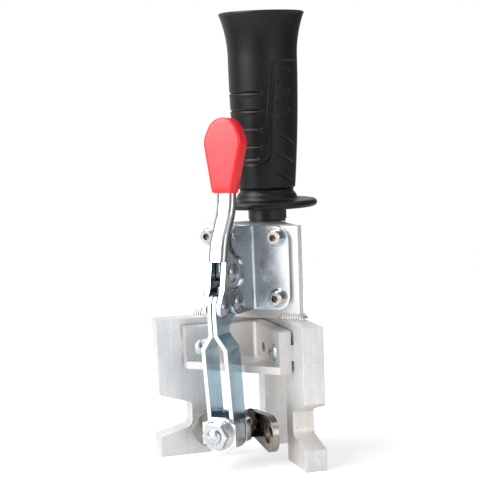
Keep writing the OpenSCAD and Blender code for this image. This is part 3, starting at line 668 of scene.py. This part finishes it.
def lever():
    """The lever: its cheeks from the CAD node, joined to a smooth pressed channel."""
    stations, _ = channel_path()
    ring = channel_ring()
    channel = mesh_object("channel", *loft([[behind(st, x, d) for x, d in ring] for st in stations]))
    # a block that takes the CAD node's plainer channel and tongue away
    side, back = BLOCK_HALF, CHANNEL_DEPTH + BLOCK_SLACK
    block = [(-side, BLOCK_FRONT), (side, BLOCK_FRONT), (side, back), (-side, back)]
    past = ahead_of(stations[-1], BLOCK_PAST)
    cut = mesh_object("cut", *loft([[behind(st, x, d) for x, d in block] for st in stations + [past]]))
    me = NODES["handle_lever"].data.copy()
    o = add_object("handle_lever_pressed", me)
    drop_normals(me)
    bm = bmesh.new()
    bm.from_mesh(me)
    bmesh.ops.remove_doubles(bm, verts=bm.verts, dist=CLOSE_POINTS * MM)
    bm.to_mesh(me)
    bm.free()
    for other, operation in ((cut, "DIFFERENCE"), (channel, "UNION")):
        m = o.modifiers.new(operation.lower(), "BOOLEAN")
        m.operation = operation
        m.object = other
        m.solver = "EXACT"
    solid(o)
    for used in (cut, channel):
        bpy.data.objects.remove(used)
    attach(o, "handle")
    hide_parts("handle_lever")
    dress(o, "lever_steel", 0.22, angle=35, flats=False)


def egg(inset):
    """Outline of the vinyl grip as (x, up), set in from its widest; round about four circles."""
    foot = VINYL_NECK - VINYL_CORNER
    circles = [
        (0, VINYL_LENGTH - VINYL_WIDE_DROP, VINYL_WIDE_R), (0, VINYL_LENGTH - VINYL_TOP_R, VINYL_TOP_R),
        (foot, VINYL_CORNER, VINYL_CORNER), (-foot, VINYL_CORNER, VINYL_CORNER),
    ]
    out = []
    for k in range(144):
        c, s = math.cos(math.radians(2.5 * k)), math.sin(math.radians(2.5 * k))
        x, up, r = max(circles, key=lambda q: q[0] * c + q[1] * s + q[2])
        r = max(r - inset, 0.05)
        out.append((x + r * c, up + r * s))
    return out


def vinyl_grip():
    """Dipped grip: egg outline, flat crowned faces and a soft rim."""
    _, neck = channel_path()

    def place(x, up, depth):
        return behind(ahead_of(neck, up + VINYL_UP), x, depth + VINYL_BACK)

    middle = VINYL_LENGTH - VINYL_CROWN_DROP
    rim = egg(VINYL_EDGE)
    front = []
    for k in (0.25, 0.5, 0.75, 0.9):
        ring = [(x * k, middle + (up - middle) * k) for x, up in rim]
        front.append((ring, -VINYL_HALF_T - VINYL_CROWN * (1 - k * k)))
    for k in range(7):
        a = math.radians(90 * k / 6)
        depth = -(VINYL_HALF_T - VINYL_EDGE) - VINYL_EDGE * math.cos(a)
        front.append((egg(VINYL_EDGE * (1 - math.sin(a))), depth))
    back = [(ring, -depth) for ring, depth in front[::-1]]
    verts, faces = loft([[place(x, up, depth) for x, up in ring] for ring, depth in front + back])
    piece("vinyl_grip_dipped", verts, faces, "handle", "vinyl_grip", "red_vinyl")


def grip_radius(z):
    """Radius of the plain sleeve: straight, then a slow taper, then the flare."""
    if z < GRIP_FOOT_Z:
        return GRIP_LOW_R
    if z < GRIP_FLARE_Z:
        t = (z - GRIP_FOOT_Z) / (GRIP_FLARE_Z - GRIP_FOOT_Z)
        return GRIP_LOW_R + (GRIP_R - GRIP_LOW_R) * (1 - (1 - t) ** 2)
    return GRIP_R + GRIP_FLARE_BEND - math.sqrt(GRIP_FLARE_BEND ** 2 - (z - GRIP_FLARE_Z) ** 2)


def from_line(px, py, ax, ay, bx, by):
    """Distance of a point from a stretch, and the side it is on."""
    dx, dy = bx - ax, by - ay
    t = max(0.0, min(1.0, ((px - ax) * dx + (py - ay) * dy) / (dx * dx + dy * dy)))
    return math.hypot(px - ax - t * dx, py - ay - t * dy), (px - ax) * dy - (py - ay) * dx


def ease(x, lo, hi):
    """0 to 1 as x goes from lo to hi, with soft ends."""
    t = max(0.0, min(1.0, (x - lo) / (hi - lo)))
    return t * t * (3 - 2 * t)


def bell(x, width):
    return math.exp(-(x / width) ** 2)


def grip_relief(deg, z):
    """Height of the moulded marks over the plain sleeve."""
    r = grip_radius(z)
    s = math.radians(abs((deg - FINGER_SIDE + 180) % 360 - 180)) * r
    ridge = [(math.radians(a) * r, up) for a, up in RIDGE]
    off, side = min((from_line(s, z, *a, *b) for a, b in zip(ridge, ridge[1:])), key=lambda q: q[0])
    h = RIDGE_RISE * bell(off, RIDGE_WIDE)
    # the finger panel lies a little lower along the ridge around it
    if side < 0 and z < PANEL_TOP:
        h -= PANEL_DEPTH * ease(PANEL_WIDE - abs(off - PANEL_WIDE), 0.0, FADE) * ease(PANEL_TOP - z, 0, 10)
    for groove, reach in FINGERS:
        d = z - groove
        dip = -GROOVE_DEPTH * bell(d, GROOVE_WIDE)
        dip += GROOVE_LIP_RISE * bell(d + GROOVE_LIP_DROP, GROOVE_LIP_WIDE)
        h += ease(math.radians(reach) * r - s, 0, FADE) * dip
    for (a0, z0), (a1, z1) in SLOTS:
        d, _ = from_line(s, z, math.radians(a0) * r, z0, math.radians(a1) * r, z1)
        h -= SLOT_DEPTH * bell(d, SLOT_WIDE)
    for a, up in DIMPLES:
        d = math.hypot(s - math.radians(a) * r, (z - up) * 0.8)
        h -= DIMPLE_DEPTH * bell(d, DIMPLE_WIDE)
        h += DIMPLE_RIM_RISE * bell(d - DIMPLE_RIM_R, DIMPLE_RIM_WIDE)
    return h


def sleeve_profile():
    """Outline (radius, z) of the sleeve from the top's middle over the outside to the bore."""
    top, rim = GRIP_TOP, GUARD_T / 2
    out = [(0.0, top - 3.0), (9, top - 3.0), (17.6, top - 3.0), (18.6, top - 2.6), (19.9, top - 0.5)]
    out += [(20.6, top - 0.1), (21.6, top), (23.2, top), (23.8, top - 0.25), (24.1, top - 0.9)]
    z = top - 1.6
    while z > 148.2:
        out.append((grip_radius(z), z))
        z -= SLEEVE_STEP
    # the neck between the body and the guard
    out += [(16.25, 147.8), (16.0, 147.3), (15.5, 147.0), (15.2, 146.4), (15.2, 145.3), (15.5, 144.9)]
    out += [(16.2, 144.2), (16.75, 143.2), (17.1, 142.2), (17.6, 141.3), (18.6, 140.75)]
    out += [(20, COLLAR_Z), (22, COLLAR_Z - 0.02), (24, COLLAR_Z)]
    for k in range(13):
        a = math.radians(90 - 180 * k / 12)
        out.append((GUARD_R - rim + rim * math.cos(a), GUARD_Z + rim + rim * math.sin(a)))
    out += [(20, GUARD_Z), (GRIP_BORE_R + 0.45, GUARD_Z), (GRIP_BORE_R, GUARD_Z + 0.4)]
    out += [(GRIP_BORE_R, top - 12), (0.0, top - 12)]
    return out


def grip_sleeve():
    """Moulded rubber sleeve, turned about its axis with the moulded marks in its surface."""
    around = SLEEVE_AROUND
    verts, faces, rows = [], [], []
    for r, z in sleeve_profile():
        marked = MARKS_LOW <= z <= MARKS_HIGH and r > 14
        row = []
        for deg in ([0.0] if r == 0.0 else [360.0 * k / around for k in range(around)]):
            q = r + (grip_relief(deg, z) if marked else 0.0)
            row.append(len(verts))
            verts.append((q * math.cos(math.radians(deg)), GRIP_Y + q * math.sin(math.radians(deg)), z))
        rows.append(row)
    for a, b in zip(rows, rows[1:]):
        for k in range(around):
            k2 = (k + 1) % around
            if len(a) == 1:
                faces.append((a[0], b[k], b[k2]))
            elif len(b) == 1:
                faces.append((a[k], b[0], a[k2]))
            else:
                faces.append((a[k], b[k], b[k2], a[k2]))
    split_edges(piece("grip_sleeve_moulded", verts, faces, "frame", "grip_sleeve", "black_rubber"), 50)


def hex_cups():
    """Hexagon sockets of the four flange screws, lined in a dark brown that paints the shade inside them.
    """
    corners = [(math.cos(math.radians(60 * k)), math.sin(math.radians(60 * k))) for k in range(6)]
    parts = []
    for x in (-FLANGE_SCREW_X, FLANGE_SCREW_X):
        for z in FLANGE_SCREW_Z:
            parts.append([[(x + r * c, y, z + r * s) for c, s in corners] for r, y in HEX_CUP])
    verts, faces = lofts(parts)
    piece("flange_screw_sockets", verts, faces, "frame", None, "socket_painted_shade", smooth=False)


def threaded(name, node, body, start, end):
    """Rod with a real thread between two points on its axis, chamfered at both ends."""
    a, b = Vector(start), Vector(end)
    axis = (b - a).normalized()
    side = axis.orthogonal().normalized()
    up = axis.cross(side)
    length = (b - a).length
    around = THREAD_AROUND
    steps = int(length / (THREAD_PITCH / THREAD_STEPS))
    rings = []
    for i in range(steps + 1):
        t = length * i / steps
        ring = []
        for k in range(around):
            turn = math.tau * k / around
            phase = (t / THREAD_PITCH - k / around) % 1.0
            tooth = min(1.0, THREAD_FLANK * abs(2 * phase - 1))
            r = THREAD_R - THREAD_SLACK - THREAD_DEPTH * (1 - tooth)
            r = min(r, THREAD_R - THREAD_CHAMFER + t, THREAD_R - THREAD_CHAMFER + length - t)
            ring.append(tuple(a + axis * t + (side * math.cos(turn) + up * math.sin(turn)) * r))
        rings.append(ring)
    verts, faces = loft(rings)
    split_edges(piece(name, verts, faces, body, node, "zinc_screw"), 60)


def lumpy(node, name, body, mat, voxel, height, scale):
    """Lumpy copy of a CAD solid: voxel remesh, then each point moves with a smooth noise per mm."""
    o = add_object(name, NODES[node].data.copy())
    m = o.modifiers.new("voxels", "REMESH")
    m.mode = "VOXEL"
    m.voxel_size = voxel * MM
    made = solid(o)
    bm = bmesh.new()
    bm.from_mesh(made)
    for _ in range(3):
        bmesh.ops.smooth_vert(bm, verts=bm.verts, factor=0.5,
                              use_axis_x=True, use_axis_y=True, use_axis_z=True)
    bm.normal_update()
    for v in bm.verts:
        q = v.co / MM
        lump = noise.noise(q * scale) + 0.5 * noise.noise(q * scale * 2.3 + Vector((7, 3, 1)))
        v.co += v.normal * lump * height * MM
    for f in bm.faces:
        f.smooth = True
    bm.to_mesh(made)
    bm.free()
    made.materials.clear()
    made.materials.append(MAT[mat])
    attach(o, body)
    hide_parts(node)


def bead_ring(x, y, side, way, full, uneven):
    """Quarter-round section of a bead; side is -1 left or 1 right, way is -1 in front or 1 behind.
    full is 1 away from the bead's ends, and uneven a share of the size that wanders along it."""
    ring = []
    for k in range(13):
        a = math.radians(90 * k / 12)
        ripple = abs(math.sin(math.pi * (x + RIPPLE_BOW * math.sin(2 * a)) / RIPPLE)) ** 0.7
        r = BEAD_R * full * (0.68 + 0.30 * ripple + uneven)
        ring.append((side * x, y + way * r * math.sin(a), BEAD_Z + BEAD_RISE * r * math.cos(a)))
    ring.append((side * x, y - way * OVERLAP, BEAD_Z - OVERLAP))
    return ring[::-1] if side * way > 0 else ring


def weld_rows():
    """Rippled beads along the foot of the mount plate, in front and behind."""
    parts = []
    for side in (-1, 1):
        for y, way in ((PLATE_FRONT_Y, -1), (PLATE_BACK_Y, 1)):
            rings = []
            for i in range(BEAD_STEPS + 1):
                t = i / BEAD_STEPS
                x = BEAD_OUT_X - BEAD_LENGTH * t
                uneven = BEAD_UNEVEN * noise.noise(Vector((x * 0.9, y, side * 3.0)))
                full = math.sqrt(max(0.02, min(1.0, BEAD_END * t, BEAD_END * (1 - t))))
                rings.append(bead_ring(x, y, side, way, full, uneven))
            parts.append(rings)
    verts, faces = lofts(parts)
    piece("weld_beads_rippled", verts, faces, "frame", "weld_beads", "weld_metal")


def area(name, place, size, power):
    """Rectangular light outside the picture, aimed at the middle of the clamp; in metres and watts."""
    light = bpy.data.lights.new(name, "AREA")
    light.shape = "RECTANGLE"
    light.size, light.size_y = size
    light.energy = power
    o = add_object(name, light)
    o.location = place
    o.rotation_euler = (Vector(AIM) - Vector(place)).to_track_quat("-Z", "Y").to_euler()
    o.visible_camera = False


def floor_piece():
    """Round pale floor that the camera sees as nearly white."""
    me = bpy.data.meshes.new("floor")
    rings, spokes = (0.2, 0.4, FLOOR_R), 64
    verts = [(0, 0, 0)]
    for r in rings:
        verts += [(r * math.cos(k * math.tau / spokes), r * math.sin(k * math.tau / spokes), 0)
                  for k in range(spokes)]
    faces = [(0, 1 + k, 1 + (k + 1) % spokes) for k in range(spokes)]
    for q in range(len(rings) - 1):
        a = 1 + q * spokes
        b = a + spokes
        faces += [(a + k, b + k, b + (k + 1) % spokes, a + (k + 1) % spokes) for k in range(spokes)]
    me.from_pydata(verts, [], faces)
    floor = add_object("floor", me)
    floor.location.z = -FLOOR_DROP
    n = Nodes("floor")
    n.put("Base Color", (0.48, 0.48, 0.48))
    n.put("Roughness", 0.75)
    n.put("Specular IOR Level", 0.2)
    n.put("Emission Color", (1.0, 1.0, 1.0))
    seen = n.t.nodes.new("ShaderNodeLightPath").outputs["Is Camera Ray"]
    # its light on the clamp is stronger in front at the left, where the big soft box stands
    ahead = n.t.nodes.new("ShaderNodeVectorMath")
    ahead.operation = "DOT_PRODUCT"
    n.link(n.co, ahead.inputs[0])
    ahead.inputs[1].default_value = (-0.47, -0.88, 0.0)
    glow = soft_step(n.t, ahead.outputs["Value"], lo=-0.05, hi=0.30, low=0.24, high=0.72)
    lit = n.t.nodes.new("ShaderNodeMix")
    n.link(seen, lit.inputs[0])
    n.link(glow, lit.inputs[2])
    lit.inputs[3].default_value = FLOOR_SEEN
    n.put("Emission Strength", lit.outputs[0])
    me.materials.append(n.mat)


def soft_step(tree, value, lo, hi, low, high):
    """Value that goes softly from low to high as the socket goes from lo to hi."""
    n = tree.nodes.new("ShaderNodeMapRange")
    n.interpolation_type = "SMOOTHSTEP"
    tree.links.new(value, n.inputs[0])
    for i, v in enumerate((lo, hi, low, high)):
        n.inputs[i + 1].default_value = v
    return n.outputs[0]


def world():
    """White for the camera; dim with a few soft boxes for light and reflections."""
    w = bpy.data.worlds.new("studio")
    SCENE.world = w
    w.use_nodes = True
    t = w.node_tree
    t.nodes.clear()
    out = t.nodes.new("ShaderNodeOutputWorld")
    co = t.nodes.new("ShaderNodeTexCoord")
    total = None
    for direction, full, end, power in WALLS:
        dot = t.nodes.new("ShaderNodeVectorMath")
        dot.operation = "DOT_PRODUCT"
        dot.inputs[1].default_value = Vector(direction).normalized()
        t.links.new(co.outputs["Generated"], dot.inputs[0])
        wall = soft_step(t, dot.outputs["Value"], lo=math.cos(math.radians(end)),
                         hi=math.cos(math.radians(full)), low=0.0, high=power)
        if total is None:
            total = wall
        else:
            both = t.nodes.new("ShaderNodeMath")
            t.links.new(total, both.inputs[0])
            t.links.new(wall, both.inputs[1])
            total = both.outputs[0]
    mix = t.nodes.new("ShaderNodeMix")
    mix.data_type = "RGBA"
    mix.clamp_factor = False
    t.links.new(total, mix.inputs[0])
    mix.inputs[6].default_value = WORLD_DIM + (1.0,)
    mix.inputs[7].default_value = (1.0, 1.0, 1.0, 1.0)
    soft = t.nodes.new("ShaderNodeBackground")
    t.links.new(mix.outputs[2], soft.inputs["Color"])
    white = t.nodes.new("ShaderNodeBackground")
    white.inputs["Color"].default_value = (1.0, 1.0, 1.0, 1.0)
    seen = t.nodes.new("ShaderNodeLightPath").outputs["Is Camera Ray"]
    pick = t.nodes.new("ShaderNodeMixShader")
    t.links.new(seen, pick.inputs[0])
    t.links.new(soft.outputs[0], pick.inputs[1])
    t.links.new(white.outputs[0], pick.inputs[2])
    t.links.new(pick.outputs[0], out.inputs["Surface"])


def studio():
    """Pale floor, soft surroundings, two area lights and a wide soft sun."""
    floor_piece()
    world()
    area("key", place=(-0.98, -1.42, 0.82), size=(1.0, 0.9), power=19)
    area("fill", place=(1.6, -0.9, 0.7), size=(0.6, 1.2), power=4)
    sun = bpy.data.lights.new("sun", "SUN")
    sun.energy = 2.2
    sun.angle = math.radians(38)
    o = add_object("sun", sun)
    o.rotation_euler = Vector((-0.42, -0.25, 0.87)).to_track_quat("Z", "Y").to_euler()
    view = SCENE.view_settings
    view.view_transform = "Standard"
    view.look = "None"
    view.exposure = 0.0
    view.gamma = 1.0


make_camera()

MAT = {name: metal(name, **looks) for name, looks in METALS.items()}
for make in (black_rubber, black_tube, red_vinyl):
    MAT[make.__name__] = make()

for node, (mat, width) in FINISH.items():
    dress(NODES[node], mat, width)

lever()
vinyl_grip()
grip_sleeve()
hex_cups()
threaded("spindle_stud_threaded", "spindle_stud", "bar", *[(0, y, SPINDLE_Z) for y in SPINDLE_Y])
threaded("grip_bolt_threaded", "grip_bolt", "frame", *[(0, GRIP_Y, z) for z in GRIP_BOLT_Z])
lumpy("pad_weld", "pad_weld_lumpy", "bar", "dark_weld", voxel=0.4, height=0.9, scale=0.45)
weld_rows()

studio()
